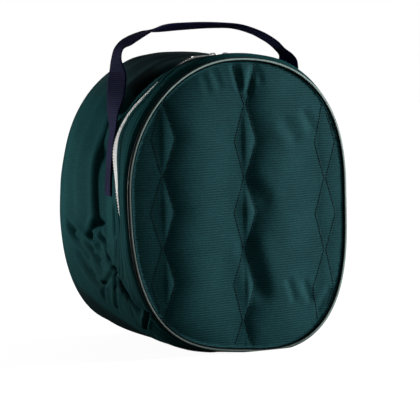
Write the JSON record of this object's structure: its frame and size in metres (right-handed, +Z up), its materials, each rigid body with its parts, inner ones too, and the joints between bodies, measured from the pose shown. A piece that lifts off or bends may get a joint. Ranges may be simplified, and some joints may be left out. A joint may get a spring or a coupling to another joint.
{
  "type": "helmet bag",
  "caption": "Soft oval helmet bag with a quilted, piped front panel, a zip over the top and sides, a deep gusset and a webbing carrying handle.",
  "frame": {"origin": "on the floor, under the middle of the bag's overall box", "axes": "+Z up, -Y towards the quilted front panel, +X to the right as the front is faced"},
  "size_m": [0.2636, 0.1887, 0.3484],
  "materials": {
    "quilted_cloth": "fine ribbed polyester, dark teal green, quilted over wadding",
    "gusset_cloth": "fine ribbed polyester, dark teal green",
    "piping_cord": "satin covered cord, dark green with a pale sheen",
    "zip_tape": "white woven tape",
    "zip_coil": "white nylon coil",
    "zip_metal": "nickel plated, softly polished",
    "webbing": "ribbed polypropylene webbing, navy"
  },
  "bodies": {
    "bag": {"front_panel": "quilted_cloth", "front_piping": "piping_cord", "lid_gusset": "gusset_cloth", "zip_tape": "zip_tape", "zip_coil": "zip_coil", "zip_slider_left": "zip_metal", "zip_slider_right": "zip_metal", "body_gusset": "gusset_cloth", "back_panel": "gusset_cloth", "handle_strap": "webbing"},
    "pull_left": {"zip_pull_left": "zip_metal"},
    "pull_right": {"zip_pull_right": "zip_metal"}
  },
  "joints": [
    {"name": "pull_left_swing", "type": "hinge", "parent": "bag", "child": "pull_left", "pos_m": [-0.0077, -0.046, 0.31163], "axis": [0, 1, 0], "range_deg": [0, 100]},
    {"name": "pull_right_swing", "type": "hinge", "parent": "bag", "child": "pull_right", "pos_m": [0.0077, -0.046, 0.31163], "axis": [0, -1, 0], "range_deg": [0, 100]}
  ]
}
